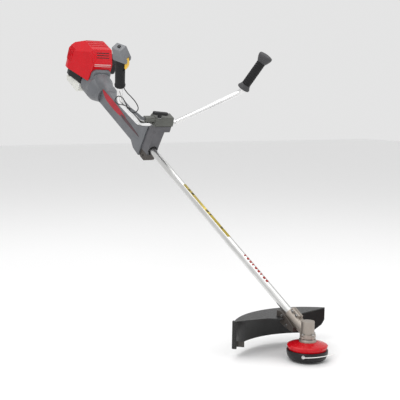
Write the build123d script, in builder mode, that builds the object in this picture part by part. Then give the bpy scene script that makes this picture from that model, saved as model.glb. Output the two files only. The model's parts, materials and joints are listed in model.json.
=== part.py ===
"""Petrol brush cutter with a bump-feed line head, a rear engine and a U-shaped handlebar.

Everything is in millimetres.  The machine stands in its working pose: the cutting plane is level,
+Z is up, +X points forward and +Y to the operator's left.  The origin is the middle of the cutting
head's underside.  Most parts are laid out in the shaft's own frame, whose x runs along the shaft
towards the head, y to the left and z square to the shaft; its origin is where the shaft's axis
meets the head's axis.
"""
from build123d import *
from math import atan2, cos, degrees, hypot, radians, sin, tan
import os

# ---------------------------------------------------------------- driving dimensions
SHAFT_TILT = 28.66          # shaft against the ground
GEAR_HEIGHT = 86.0          # where the shaft's axis meets the head's axis
TUBE_R, TUBE_BORE = 14.0, 12.5
TUBE_REAR, TUBE_FRONT = -1600.0, -52.0
DRIVE_R = 4.0               # solid drive shaft
CRANK_R = 6.0
GAP = 0.3                   # running clearance between moving bodies
FIT = 0.15                  # clearance in a bearing or a pivot
BEARING_R, BEARING_LONG = 11.0, 7.0

# cutting head
HEAD_R = 65.0
HEAD_SPLIT = 36.0           # height of the joint between red housing and black cover
EYELET_ANGLE = -51.0
EYELET_HEIGHT = 26.0
LINE_R = 1.2

# bevel gears
PINION_TEETH, GEAR_TEETH = 14, 19
CONE_OUTER, CONE_INNER = 26.0, 18.5

# guard
GUARD_CENTRE, GUARD_R, GUARD_HALF_ANGLE = 50.0, 266.0, 46.0
GUARD_TOP, GUARD_BOTTOM, GUARD_WALL = 120.0, 30.0, 3.0

# handlebar, in the shaft's frame
BAR_R = 11.0
BAR_X, BAR_Z = -1107.0, 120.0
RIGHT_GRIP_FOOT, RIGHT_GRIP_TOP = (-1019, -277, 336), (-1006, -320, 479)
LEFT_GRIP_FOOT, LEFT_GRIP_TOP = (-1019, 277, 336), (-1006, 320, 479)

# engine, in the shaft's frame
ENGINE_FRONT, ENGINE_REAR = -1545.0, -1832.0
CYLINDER_X = -1735.0

# ---------------------------------------------------------------- the shaft's frame
FORWARD = Vector(cos(radians(SHAFT_TILT)), 0, -sin(radians(SHAFT_TILT)))
LEFT = Vector(0, 1, 0)
UPWARD = Vector(sin(radians(SHAFT_TILT)), 0, cos(radians(SHAFT_TILT)))
MACHINE = Plane(origin=(0, 0, GEAR_HEIGHT), x_dir=FORWARD, z_dir=UPWARD)
SHAFT_AXIS = Axis(MACHINE.origin, FORWARD)
HEAD_AXIS = Axis((0, 0, 0), (0, 0, 1))


def at(x, y=0.0, z=0.0):
    """A point given in the shaft's frame."""
    return MACHINE.from_local_coords(Vector(x, y, z))


def across(x, y=0.0, z=0.0):
    """Plane square to the shaft, facing forward: sketch x is left, sketch y is up."""
    return Plane(origin=at(x, y, z), x_dir=LEFT, z_dir=FORWARD)


def deck(z, x=0.0, y=0.0):
    """Plane along the shaft, facing up: sketch x is forward, sketch y is left."""
    return Plane(origin=at(x, y, z), x_dir=FORWARD, z_dir=UPWARD)


def side(y, x=0.0, z=0.0):
    """Plane along the shaft, facing right: sketch x is forward, sketch y is up."""
    return Plane(origin=at(x, y, z), x_dir=FORWARD, z_dir=-LEFT)


# ---------------------------------------------------------------- shapes added to the open part
def disc(plane, radius, length, mode=Mode.ADD):
    """A cylinder standing on a plane."""
    with BuildSketch(plane) as outline:
        Circle(radius)
    extrude(outline.sketch, amount=length, mode=mode)


def ring(plane, outer, inner, length, mode=Mode.ADD):
    """A tube standing on a plane."""
    with BuildSketch(plane) as outline:
        Circle(outer)
        Circle(inner, mode=Mode.SUBTRACT)
    extrude(outline.sketch, amount=length, mode=mode)


def block(plane, width, height, length, corner=0.0, mode=Mode.ADD):
    """A bar of rectangular section, centred on a plane's origin."""
    with BuildSketch(plane) as outline:
        if corner:
            RectangleRounded(width, height, corner)
        else:
            Rectangle(width, height)
    extrude(outline.sketch, amount=length, mode=mode)


def prism(plane, points, length, both=False, corner=0.0, mode=Mode.ADD):
    """A bar whose section is a polygon, with its corners rounded if asked."""
    with BuildSketch(plane) as outline:
        with BuildLine():
            Polyline(*points, close=True)
        make_face()
        if corner:
            fillet(outline.vertices(), corner)
    extrude(outline.sketch, amount=length, both=both, mode=mode)


def turned(plane, axis, points, mode=Mode.ADD):
    """A round part: the outline through these (along, radius) points, turned about an axis."""
    with BuildSketch(plane) as outline:
        with BuildLine():
            Polyline(*points, close=True)
        make_face()
    revolve(outline.sketch, axis=axis, mode=mode)


def tube_along(points, radii, radius, bore=0.0):
    """A round bar or tube along straight runs joined by tangent arcs."""
    with BuildLine() as route:
        FilletPolyline(*points, radius=radii)
    start = Plane(origin=route.line @ 0, z_dir=route.line % 0)
    with BuildSketch(start) as section:
        Circle(radius)
        if bore:
            Circle(bore, mode=Mode.SUBTRACT)
    sweep(section.sketch, path=route.line)


def arc_radii(points, share=0.45):
    """Each corner's arc takes the same share of the shorter of its two runs."""
    radii = []
    for before, here, after in zip(points, points[1:], points[2:]):
        arriving = Vector(*here) - Vector(*before)
        leaving = Vector(*after) - Vector(*here)
        half_turn = radians(arriving.get_angle(leaving)) / 2
        radii.append(share * min(arriving.length, leaving.length) / tan(half_turn))
    return radii


# ================================================================ cutting head
eyelet_plane = Plane(origin=(0, 0, EYELET_HEIGHT),
                     z_dir=(cos(radians(EYELET_ANGLE)), sin(radians(EYELET_ANGLE)), 0))

with BuildPart() as head_housing:
    turned(Plane.XZ, HEAD_AXIS, [(5, 60.5), (28, 60.5), (60, 52.5), (64, 50.5), (HEAD_R, 48), (60.5, HEAD_SPLIT),
                                 (57, HEAD_SPLIT), (61, 47.5), (28, 57), (12, 57), (12, 18), (5, 18)])
    with BuildSketch(Plane.XY.offset(52)) as finger_scoops:
        with PolarLocations(HEAD_R + 6, 8):
            Circle(9)
    extrude(finger_scoops.sketch, amount=-8, mode=Mode.SUBTRACT)

with BuildPart() as head_cover:
    turned(Plane.XZ, HEAD_AXIS, [(55, HEAD_SPLIT), (65, HEAD_SPLIT), (66, 34), (66, 27), (64, 18), (58, 7),
                                 (27, 7), (27, 10), (55, 10), (60, 19), (62, 27), (62, 33), (55, 33)])
    disc(eyelet_plane.offset(54), 4.0, 16, mode=Mode.SUBTRACT)

with BuildPart() as spool:
    turned(Plane.XZ, HEAD_AXIS, [(12.3, 12), (52, 12), (52, 14.5), (24, 14.5), (24, 40), (52, 40), (52, 42.5),
                                 (12.3, 42.5)])
    with BuildSketch(Plane.XY.offset(40)) as spool_windows:
        with PolarLocations(38, 6):
            Circle(7)
    extrude(spool_windows.sketch, amount=2.5, mode=Mode.SUBTRACT)

with BuildPart() as bump_button:
    turned(Plane.XZ, HEAD_AXIS, [(0, 0), (18, 0), (23, 2.5), (25, 7), (25, 10.5), (31, 10.5), (31, 12), (0, 12)])

with BuildPart() as head_spring:
    SPRING_R, SPRING_WIRE = 16.5, 0.8
    with BuildLine() as spring_path:
        Helix(pitch=3.4, height=12.0, radius=SPRING_R, center=(0, 0, 43.8))
    with BuildSketch(Plane(origin=spring_path.line @ 0, z_dir=spring_path.line % 0)) as spring_wire:
        Circle(SPRING_WIRE)
    sweep(spring_wire.sketch, path=spring_path.line, is_frenet=True)

with BuildPart() as line_eyelet:
    ring(eyelet_plane.offset(58), 4.0, 1.7, 8.3)
    ring(eyelet_plane.offset(66.3), 5.6, 1.7, 1.5)

# The cutting line leaves the eyelet straight out and curls round the way it is dragged.
LINE_ROUTE = [(42.7, -52.7, 26), (51.6, -63.7, 29), (69.6, -64.0, 33), (87.6, -46.0, 35.5), (97.0, -8.0, 37),
              (96.0, 31.0, 38)]
line_radii = arc_radii(LINE_ROUTE)
print("trimmer line arc radii", [round(r, 1) for r in line_radii])
with BuildPart() as trimmer_line:
    tube_along(LINE_ROUTE, line_radii, LINE_R)

with BuildPart() as blade_holder:
    turned(Plane.XZ, HEAD_AXIS, [(5, 60.5), (28, 60.5), (28, 64), (26, 70), (12, 70), (12, 73), (5, 73)])

with BuildPart() as output_shaft:
    disc(Plane.XY.offset(40), 5.0, 80)

# ================================================================ bevel gears and gear case
SHAFT_ANGLE = radians(90 - SHAFT_TILT)
PINION_CONE = atan2(sin(SHAFT_ANGLE), GEAR_TEETH / PINION_TEETH + cos(SHAFT_ANGLE))
GEAR_CONE = SHAFT_ANGLE - PINION_CONE


def bevel_outline(cone_angle, back, hub_r, hub_end, bore, relief=0.25):
    """Half section (along the axis from the cones' apex, radius) of a bevel gear."""
    outer = (CONE_OUTER * cos(cone_angle), CONE_OUTER * sin(cone_angle) - relief / cos(cone_angle))
    inner = (CONE_INNER * cos(cone_angle), CONE_INNER * sin(cone_angle) - relief / cos(cone_angle))
    return [(inner[0], bore), inner, outer, (outer[0] + back, outer[1] - 1.5), (outer[0] + back, hub_r),
            (hub_end, hub_r), (hub_end, bore)]


def cut_teeth(axis_plane, cone_angle, teeth):
    """Cut the gaps between the teeth of a bevel gear whose axis runs along the plane's normal."""
    start = CONE_INNER - 3
    for turn in range(teeth):
        around = axis_plane.rotated((0, 0, 360 / teeth * turn))
        along = around.x_dir * sin(cone_angle) + around.z_dir * cos(cone_angle)
        outward = around.x_dir * cos(cone_angle) - around.z_dir * sin(cone_angle)
        gap = Plane(origin=around.origin + along * start, x_dir=outward, z_dir=along)
        with BuildSketch(gap) as tooth_gap:
            with BuildLine():
                Polyline((-1.6, -0.5), (2, -1.6), (2, 1.6), (-1.6, 0.5), close=True)
            make_face()
        extrude(tooth_gap.sketch, amount=CONE_OUTER - start + 4, mode=Mode.SUBTRACT)


gear_plane = Plane(origin=(0, 0, GEAR_HEIGHT), x_dir=(1, 0, 0), z_dir=(0, 0, 1))
pinion_plane = Plane(origin=(0, 0, GEAR_HEIGHT), x_dir=LEFT, z_dir=-FORWARD)

with BuildPart() as bevel_gear:
    turned(Plane(origin=(0, 0, GEAR_HEIGHT), x_dir=(0, 0, 1), z_dir=(0, 1, 0)), HEAD_AXIS,
           bevel_outline(GEAR_CONE, 2.0, 8.0, 24.5, 5.0))
    cut_teeth(gear_plane, GEAR_CONE, GEAR_TEETH)

with BuildPart() as bevel_pinion:
    turned(Plane(origin=(0, 0, GEAR_HEIGHT), x_dir=-FORWARD, z_dir=LEFT), SHAFT_AXIS,
           bevel_outline(PINION_CONE, 2.5, 6.0, 32.0, 0.0))
    cut_teeth(pinion_plane, PINION_CONE, PINION_TEETH)
    disc(across(-62), DRIVE_R, 31)

NECK_R, BARREL_R, CAVITY_R = 19.0, 21.0, 17.8
with BuildPart() as gear_case:
    disc(Plane.XY.offset(80), BARREL_R, 46)
    disc(Plane.XY.offset(80), 25.0, 5)
    disc(across(-100), NECK_R, 96)
    block(across(-97, 0, 17), 17, 22, 44, corner=3)
    fillet(gear_case.edges().filter_by(GeomType.CIRCLE).group_by(Axis.Z)[-1], 3)
    disc(Plane.XY.offset(50), 30, 30, mode=Mode.SUBTRACT)
    disc(Plane.XY.offset(79), CAVITY_R, 37, mode=Mode.SUBTRACT)
    disc(Plane.XY.offset(79), 13.0, 41.5, mode=Mode.SUBTRACT)
    disc(across(-34), 12.8, 28, mode=Mode.SUBTRACT)
    disc(across(TUBE_FRONT), BEARING_R, 20, mode=Mode.SUBTRACT)
    disc(across(-101), TUBE_R, 101 + TUBE_FRONT, mode=Mode.SUBTRACT)
    block(across(-101, 0, 22), 1.6, 20, 49, mode=Mode.SUBTRACT)

CAP_EAR_SPREAD = 80.0
with BuildPart() as gear_case_cap:
    turned(Plane.XZ, HEAD_AXIS, [(12.5, 72), (25, 72), (25, 80), (17.5, 80), (17.5, 83), (13, 83), (13, 74.5),
                                 (12.5, 74.5)])
    with BuildSketch(Plane.XY.offset(72)) as cap_ears:
        with PolarLocations(24, 3, start_angle=-CAP_EAR_SPREAD, angular_range=2 * CAP_EAR_SPREAD, endpoint=True):
            Circle(5.5)
        Circle(24, mode=Mode.SUBTRACT)
    extrude(cap_ears.sketch, amount=8)

# ================================================================ guard
with BuildPart() as guard:
    ARC_END = (GUARD_CENTRE - GUARD_R * cos(radians(GUARD_HALF_ANGLE)),
               GUARD_R * sin(radians(GUARD_HALF_ANGLE)))
    ARC_INNER = (GUARD_CENTRE - (GUARD_R - GUARD_WALL) * cos(radians(GUARD_HALF_ANGLE)),
                 (GUARD_R - GUARD_WALL) * sin(radians(GUARD_HALF_ANGLE)))
    with BuildSketch(Plane.XY.offset(GUARD_BOTTOM)) as skirt:
        with BuildLine():
            ThreePointArc((ARC_END[0], -ARC_END[1]), (GUARD_CENTRE - GUARD_R, 0), ARC_END)
            Line(ARC_END, ARC_INNER)
            ThreePointArc(ARC_INNER, (GUARD_CENTRE - GUARD_R + GUARD_WALL, 0), (ARC_INNER[0], -ARC_INNER[1]))
            Line((ARC_INNER[0], -ARC_INNER[1]), (ARC_END[0], -ARC_END[1]))
        make_face()
    extrude(skirt.sketch, amount=GUARD_TOP - GUARD_BOTTOM)
    with BuildSketch(Plane.XY.offset(GUARD_TOP - GUARD_WALL)) as roof:
        with BuildLine():
            ThreePointArc((ARC_END[0], -ARC_END[1]), (GUARD_CENTRE - GUARD_R, 0), ARC_END)
            Polyline(ARC_END, (-112, 70), (-84, 36), (-84, 27), (-110, 27), (-110, -27), (-84, -27), (-84, -36),
                     (-112, -70), (ARC_END[0], -ARC_END[1]))
        make_face()
    extrude(roof.sketch, amount=GUARD_WALL)
    # end flange on the right, and the lower corner on the left rounded away
    with BuildSketch(Plane.XY.offset(GUARD_BOTTOM)) as flange:
        with Locations(Location((GUARD_CENTRE, 0), 180 + GUARD_HALF_ANGLE - 1.6)):
            with Locations((GUARD_R - 1, 0)):
                Rectangle(14, 12)
    extrude(flange.sketch, amount=GUARD_TOP - GUARD_BOTTOM)
    left_end = Plane(origin=(0, GUARD_R, 0), x_dir=(1, 0, 0), z_dir=(0, -1, 0))
    with BuildSketch(left_end) as corner_cut:
        with BuildLine():
            Polyline((-165, GUARD_BOTTOM - 1), (-100, GUARD_BOTTOM - 1), (-100, 88), (-131, 88),
                     (-141, 60), close=True)
        make_face()
    extrude(corner_cut.sketch, amount=GUARD_R - 120, mode=Mode.SUBTRACT)

with BuildPart() as guard_bracket:
    prism(Plane(origin=(0, 24, 0), x_dir=(1, 0, 0), z_dir=(0, -1, 0)),
          [(-128, 120.2), (-109.5, 120.2), (-109.5, 100), (-84, 92), (-58, 84), (-46, 84), (-44, 98), (-70, 118),
           (-106, 138), (-128, 138)], 48)
    disc(across(-180), TUBE_R, 80, mode=Mode.SUBTRACT)
    disc(across(-100), NECK_R, 90, mode=Mode.SUBTRACT)
    disc(Plane.XY.offset(60), 25.4, 100, mode=Mode.SUBTRACT)

with BuildPart() as line_cutter:
    CUTTER_PLANE = Plane(origin=(GUARD_CENTRE, 0, 44), x_dir=(0, 0, 1),
                         z_dir=(-cos(radians(GUARD_HALF_ANGLE - 3)), -sin(radians(GUARD_HALF_ANGLE - 3)), 0))
    block(CUTTER_PLANE.offset(GUARD_R - 32), 18, 2.0, 23.8)

# ================================================================ shaft
with BuildPart() as shaft_tube:
    ring(across(TUBE_REAR), TUBE_R, TUBE_BORE, TUBE_FRONT - TUBE_REAR)

with BuildPart() as drive_shaft:
    disc(across(-1613), DRIVE_R, 1613 - 66)
    ring(across(-70), 7.0, DRIVE_R, 16)
    disc(across(-70), 7.0, 4)

with BuildPart() as shaft_bushings:
    for bush_x in (-1450, -1000, -700, -400):
        ring(across(bush_x), TUBE_BORE, DRIVE_R + GAP, 24)

# ================================================================ handlebar bracket
KNOB_X, KNOB_Y, CAP_TOP = -1089.0, -22.0, 157.0
with BuildPart() as bracket_body:
    prism(side(0), [(-1150, -18), (-1098, -18), (-1097, 20), (-1086, 106), (-1134, 106), (-1141, 60)], 22, both=True)
    block(deck(96, -1105, 4.5), 52, 77, 23.8, corner=6)
    disc(across(-1160), 20.0, 80, mode=Mode.SUBTRACT)
    disc(side(60, BAR_X, BAR_Z), BAR_R + FIT, 120, mode=Mode.SUBTRACT)
    disc(deck(90, KNOB_X, KNOB_Y), 4 + GAP, 40, mode=Mode.SUBTRACT)

with BuildPart() as damper_rings:
    for damper_x in (-1142, -1114):
        ring(across(damper_x), 20.0, TUBE_R, 14)

with BuildPart() as bracket_foot:
    prism(side(0), [(-1150, -20.3), (-1150, -48), (-1142, -54), (-1112, -54), (-1100, -44), (-1098, -20.3)], 20,
          both=True)
    disc(across(-1160), 20.5, 80, mode=Mode.SUBTRACT)
    disc(side(40, -1126, -38), 4.5, 80, mode=Mode.SUBTRACT)

with BuildPart() as clamp_cap:
    prism(side(4.5), [(-1132, 120.2), (-1079, 120.2), (-1079, 134), (-1086, CAP_TOP), (-1124, CAP_TOP),
                      (-1132, 140)], 40.5, both=True, corner=4)
    block(side(-36, -1099, 146), 26, 18, 43, corner=6)
    disc(side(60, BAR_X, BAR_Z), BAR_R + FIT, 160, mode=Mode.SUBTRACT)
    disc(deck(110, KNOB_X, KNOB_Y), 4 + GAP, 60, mode=Mode.SUBTRACT)
    block(deck(100, -1105, 50), 80, 10, 80, mode=Mode.SUBTRACT)

with BuildPart() as knob_washer:
    ring(deck(CAP_TOP + 0.1, KNOB_X, KNOB_Y), 9.0, 4 + GAP, 1.5)

with BuildPart() as clamp_knob:
    disc(deck(102, KNOB_X, KNOB_Y), 4.0, 60)
    disc(deck(CAP_TOP + 1.8, KNOB_X, KNOB_Y), 8.0, 14)
    with BuildSketch(deck(171, KNOB_X, KNOB_Y)) as knob_bar:
        SlotOverall(64, 15, rotation=80)
    extrude(knob_bar.sketch, amount=10)
    fillet(clamp_knob.edges().group_by(Axis(at(0), UPWARD))[-1], 2.5)

# ================================================================ handlebar and controls
RIGHT_ELBOW, LEFT_ELBOW = (BAR_X, -88, BAR_Z), (BAR_X, 62, BAR_Z)


def below_grip(foot, top, distance):
    """The point a distance below a grip's foot, in line with the grip."""
    share = distance / hypot(*(t - f for f, t in zip(foot, top)))
    return tuple(f - (t - f) * share for f, t in zip(foot, top))


RIGHT_BEND = below_grip(RIGHT_GRIP_FOOT, RIGHT_GRIP_TOP, 78)
LEFT_BEND = below_grip(LEFT_GRIP_FOOT, LEFT_GRIP_TOP, 26)
with BuildPart() as handlebar:
    tube_along([at(*p) for p in (RIGHT_GRIP_TOP, RIGHT_BEND, RIGHT_ELBOW, LEFT_ELBOW, LEFT_BEND, LEFT_GRIP_TOP)],
               [85, 60, 40, 50], BAR_R, BAR_R - 1.6)


def grip_plane(foot, top, facing):
    """Plane at a grip's foot: z runs up the grip, x points the way the given direction faces."""
    along = (at(*top) - at(*foot)).normalized()
    across_grip = along.cross(facing)
    return Plane(origin=at(*foot), x_dir=across_grip.cross(along), z_dir=along)


def lengthways(plane):
    """The plane's own x against its z, for outlines given as (out from the axis, along the axis)."""
    return Plane(origin=plane.origin, x_dir=plane.x_dir, z_dir=plane.x_dir.cross(plane.z_dir))


left_grip_frame = grip_plane(LEFT_GRIP_FOOT, LEFT_GRIP_TOP, FORWARD)
finger_side = FORWARD * cos(radians(35)) + LEFT * sin(radians(35))
right_grip_frame = grip_plane(RIGHT_GRIP_FOOT, RIGHT_GRIP_TOP, finger_side)
GRIP_LONG = 150.0
HOUSING_FOOT = 108.0        # up the right grip
LEVER_SLOT_LOW = 66.0

with BuildPart() as left_grip:
    turned(lengthways(left_grip_frame), Axis(left_grip_frame.origin, left_grip_frame.z_dir),
           [(BAR_R, -8), (24, -8), (26, -2), (18, 14), (17.5, 60), (18, 112), (24, 128), (29, 142), (27, 151),
            (0, 153), (0, GRIP_LONG + 0.3), (BAR_R, GRIP_LONG + 0.3)])
    for rib in range(9):
        ring(left_grip_frame.offset(22 + 10 * rib), 19, 16.8, 3, mode=Mode.SUBTRACT)

with BuildPart() as right_grip:
    turned(lengthways(right_grip_frame), Axis(right_grip_frame.origin, right_grip_frame.z_dir),
           [(BAR_R, -8), (19, -8), (20, -2), (18, 6), (18, HOUSING_FOOT), (BAR_R, HOUSING_FOOT)])
    with BuildSketch(right_grip_frame.offset(LEVER_SLOT_LOW)) as lever_recesses:
        with Locations((23, 0)):
            Rectangle(19, 16)
        with Locations((-22.5, 0)):
            Rectangle(19, 13)
    extrude(lever_recesses.sketch, amount=HOUSING_FOOT - LEVER_SLOT_LOW + 1, mode=Mode.SUBTRACT)

with BuildPart() as throttle_housing:
    prism(lengthways(right_grip_frame),
          [(-18, HOUSING_FOOT), (33, HOUSING_FOOT), (34, 118), (13, 157), (-24, 157)], 21, both=True)
    flanks = throttle_housing.faces().filter_by(Axis((0, 0, 0), lengthways(right_grip_frame).z_dir))
    fillet(flanks.edges(), 5)
    disc(right_grip_frame.offset(HOUSING_FOOT - 1), BAR_R, GRIP_LONG + 1.3 - HOUSING_FOOT, mode=Mode.SUBTRACT)
    with BuildSketch(right_grip_frame.offset(HOUSING_FOOT - 1)) as lever_slots:
        with Locations((25, 0)):
            Rectangle(19, 16)
        with Locations((-15.5, 0)):
            Rectangle(13, 14)
    extrude(lever_slots.sketch, amount=18, mode=Mode.SUBTRACT)

with BuildPart() as throttle_trigger:
    prism(lengthways(right_grip_frame),
          [(20, 112), (20, 122), (30, 122), (33, 108), (33, 94), (29, 80), (25, 76), (22, 82), (23, 98)],
          7, both=True, corner=1.2)

with BuildPart() as trigger_lockout:
    prism(lengthways(right_grip_frame),
          [(-13, 112), (-13, 122), (-20, 122), (-25, 106), (-28, 92), (-28, 78), (-26, 74), (-23, 78), (-22, 95)],
          5.5, both=True, corner=1.2)

with BuildPart() as stop_switch:
    with BuildSketch(right_grip_frame.offset(157.2)) as switch_outline:
        with Locations((-5, 0)):
            RectangleRounded(10, 12, 3)
    extrude(switch_outline.sketch, amount=4)

# The throttle cable hangs in a loop below the grip, then runs down the bar into its sleeve.
CABLE_R, SLEEVE_R = 1.8, 5.5
CABLE_ROUTE = [(-1007, -266, 329), (-1003, -253, 313), (-999, -228, 295), (-998, -200, 270), (-999, -182, 243),
               (-1005, -197, 222), (-1008, -220, 238), (-1007, -241, 266), (-1004, -262, 292), (-1001, -287, 299),
               (-1003, -292, 275), (-1008, -268, 259), (-1018.9, -232.15, 250.7), (-1036, -197, 226)]
SLEEVE_ROUTE = [(-1036, -197, 226), (-1054, -160, 200), (-1077, -122, 172), (-1093, -100, 154), (-1099, -82, 147)]
cable_points = [at(*p) for p in CABLE_ROUTE]
sleeve_points = [at(*p) for p in SLEEVE_ROUTE]
cable_radii, sleeve_radii = arc_radii(cable_points), arc_radii(sleeve_points)
print("throttle cable arc radii", [round(r, 1) for r in cable_radii])
print("cable sleeve arc radii", [round(r, 1) for r in sleeve_radii])
with BuildPart() as throttle_cable:
    tube_along(cable_points, cable_radii, CABLE_R)

with BuildPart() as cable_sleeve:
    tube_along(sleeve_points, sleeve_radii, SLEEVE_R)

# ================================================================ shaft cover, in two halves
COVER_BACK, COVER_FRONT = ENGINE_FRONT + 0.5, -1150.3
with BuildPart() as cover_shell:
    COVER_SIDE = [(COVER_BACK, -34), (-1222, -34), (-1200, -48), (COVER_FRONT, -52), (COVER_FRONT, -20),
                  (-1141.5, 60), (-1136.5, 104), (-1180, 92), (-1250, 52), (-1320, 44), (COVER_BACK, 44)]
    COVER_WALL_SIDE = [(COVER_BACK + 3, -31), (-1223, -31), (-1201, -45), (COVER_FRONT - 3, -49),
                       (COVER_FRONT - 3, -20), (-1145, 60), (-1140.5, 99.5), (-1179, 88.5), (-1250, 48.5),
                       (-1320, 41), (COVER_BACK + 3, 41)]
    prism(side(0), COVER_SIDE, 27, both=True)
    fillet(cover_shell.edges().filter_by(Axis(at(0), FORWARD)), 9)
    prism(side(0), COVER_WALL_SIDE, 24, both=True, mode=Mode.SUBTRACT)
    disc(across(-1600), TUBE_R + 0.2, 500, mode=Mode.SUBTRACT)

shaft_cover_right = split(cover_shell.part, bisect_by=Plane.XZ, keep=Keep.TOP)
shaft_cover_left = split(cover_shell.part, bisect_by=Plane.XZ, keep=Keep.BOTTOM)

# ================================================================ clutch and engine
def housing_section(plane, clearance=0.0):
    """Section of the clutch housing: round below, squared off above."""
    with BuildSketch(plane) as section:
        with Locations((0, -8)):
            Circle(57 + clearance)
        with Locations((0, 24)):
            RectangleRounded(92 + 2 * clearance, 110 + 2 * clearance, 22)
    return section.sketch


HOUSING_REAR, HOUSING_SHOULDER = -1690.0, -1624.0
with BuildPart() as clutch_housing:
    extrude(housing_section(across(HOUSING_REAR)), amount=HOUSING_SHOULDER - HOUSING_REAR)
    chamfer(clutch_housing.faces().sort_by(Axis(at(0), FORWARD))[-1].edges(), 7)
    turned(side(0), SHAFT_AXIS, [(-1640, 0), (-1640, 57), (-1612, 62), (-1566, 43), (ENGINE_FRONT, 40),
                                 (ENGINE_FRONT, 0)])
    disc(across(HOUSING_REAR - 1), 47, 37, mode=Mode.SUBTRACT)
    disc(across(-1655), 43, 42, mode=Mode.SUBTRACT)
    disc(across(-1614), BEARING_R, 9, mode=Mode.SUBTRACT)
    disc(across(-1606), TUBE_R, 70, mode=Mode.SUBTRACT)

with BuildPart() as clutch_drum:
    ring(across(-1643), 39.5, 37, 30)
    ring(across(-1616), 39.5, DRIVE_R, 3)
    ring(across(-1613), 6.0, DRIVE_R, 10)

with BuildPart() as clutch_rotor:
    disc(across(-1640), 36.2, 14)
    disc(across(-1652), 12.0, 12)
    disc(across(-1653), CRANK_R, 40, mode=Mode.SUBTRACT)
    for shoe_side in (-1, 1):
        with BuildSketch(across(-1641, 17 * shoe_side)) as shoe_slot:
            Rectangle(4, 58)
        extrude(shoe_slot.sketch, amount=16, mode=Mode.SUBTRACT)

with BuildPart() as flywheel_fan:
    ring(across(-1685), 44, CRANK_R, 5)
    ring(across(-1680), 14, CRANK_R, 24)
    with BuildSketch(across(-1680)) as fan_blades:
        with PolarLocations(34, 14):
            Rectangle(19, 2.4, rotation=28)
    extrude(fan_blades.sketch, amount=13)

with BuildPart() as crankcase:
    block(deck(-40, CYLINDER_X), 86, 80, 74, corner=10)
    disc(across(-1766), 31, 62, mode=Mode.SUBTRACT)
    disc(across(-1790), 8, 110, mode=Mode.SUBTRACT)
    for seat_x in (-1773, -1704):
        disc(across(seat_x), BEARING_R, BEARING_LONG, mode=Mode.SUBTRACT)
    disc(deck(20, CYLINDER_X), 17.5, 20, mode=Mode.SUBTRACT)

with BuildPart() as crankshaft:
    disc(across(-1798), CRANK_R, 50)
    disc(across(-1728), CRANK_R, 102)
    disc(across(-1750), 25, 9)
    disc(across(-1728), 25, 9)
    disc(across(-1741, 0, 14), 5, 13)

with BuildPart() as cylinder:
    block(deck(34, CYLINDER_X), 52, 50, 84, corner=12)
    for fin in range(9):
        block(deck(42 + 8.5 * fin, CYLINDER_X), 76, 62, 2.6, corner=8)
    disc(deck(30, CYLINDER_X), 17.5, 66, mode=Mode.SUBTRACT)

with BuildPart() as spark_plug:
    disc(deck(118, CYLINDER_X), 8, 8)
    disc(deck(126, CYLINDER_X), 5, 14)
    disc(deck(134, CYLINDER_X), 9, 14)

with BuildPart() as muffler:
    prism(deck(44), [(-1788, -37), (-1788, -78), (-1770, -88), (-1735, -77), (-1712, -64), (-1712, -37)], 50,
          corner=6)
    disc(side(-31, -1735, 60), 8, 8)

COVER_THICK = 2.5
COVER_TOP_VIEW = [(-1632, -47), (-1765, -100), (-1786, -98.3), (-1801.5, -80), (-1801.5, 47.5),
                  (-1632, 45.5)]
COVER_SIDE_VIEW = [(-1642, 20), (-1636, 97), (-1668, 160), (-1752, 160), (-1792, 132), (-1800, 96),
                   (-1800, 20)]
COVER_FRONT_VIEW = [(46, 18), (46, 97), (43, 162), (-47, 162), (-99, 104), (-101, 18)]
COVER_TOP_CORNER, COVER_SIDE_CORNER, COVER_FRONT_CORNER = 8.0, 7.0, 6.0
COVER_REACH = 400.0         # far past the cover on every side


def cover_outline(plane, points, corner, inset):
    """A polygon with rounded corners, drawn in by a wall's thickness."""
    with BuildSketch() as outline:
        with BuildLine():
            Polyline(*points, close=True)
        make_face()
        if inset:
            offset(amount=-inset, kind=Kind.INTERSECTION, mode=Mode.REPLACE)
        fillet(outline.vertices(), corner - inset)
    return plane * outline.sketch


def cover_block(inset):
    """The solid common to the cover's top, side and front outlines."""
    from_top = cover_outline(deck(0), COVER_TOP_VIEW, COVER_TOP_CORNER, inset)
    from_side = cover_outline(side(0), COVER_SIDE_VIEW, COVER_SIDE_CORNER, inset)
    from_front = cover_outline(across(CYLINDER_X), COVER_FRONT_VIEW, COVER_FRONT_CORNER, inset)
    with BuildPart() as body:
        extrude(from_top, amount=COVER_REACH, both=True)
        extrude(from_side, amount=COVER_REACH, both=True, mode=Mode.INTERSECT)
        extrude(from_front, amount=COVER_REACH, both=True, mode=Mode.INTERSECT)
    return body.part


cover_outer, cover_inner = cover_block(0), cover_block(COVER_THICK)
cover_mouth = extrude(cover_outline(deck(0), COVER_TOP_VIEW, COVER_TOP_CORNER, COVER_THICK),
                      amount=40, both=True)
with BuildPart() as top_cover:
    add(cover_outer)
    add(cover_inner, mode=Mode.SUBTRACT)
    add(cover_mouth, mode=Mode.SUBTRACT)
    extrude(housing_section(across(HOUSING_REAR), 0.4), amount=70, mode=Mode.SUBTRACT)
    block(side(30, -1738, 66), 64, 56, -40, corner=4, mode=Mode.SUBTRACT)
    with BuildSketch(across(-1810)) as rear_slots:
        for slot in range(5):
            with Locations((-50, 50 + 11 * slot)):
                SlotOverall(50, 5)
    extrude(rear_slots.sketch, amount=20, mode=Mode.SUBTRACT)

with BuildPart() as lower_shroud:
    prism(deck(-16), [(-1692, -60), (-1765, -84), (-1786, -82), (-1798, -68), (-1798, 50), (-1692, 50)], 35.8)
    block(deck(-60, CYLINDER_X), 87, 81, 100, corner=10, mode=Mode.SUBTRACT)
    block(deck(-20, -1700), 60, 40, 60, mode=Mode.SUBTRACT)
    disc(across(-1810), 9, 60, mode=Mode.SUBTRACT)

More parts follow.
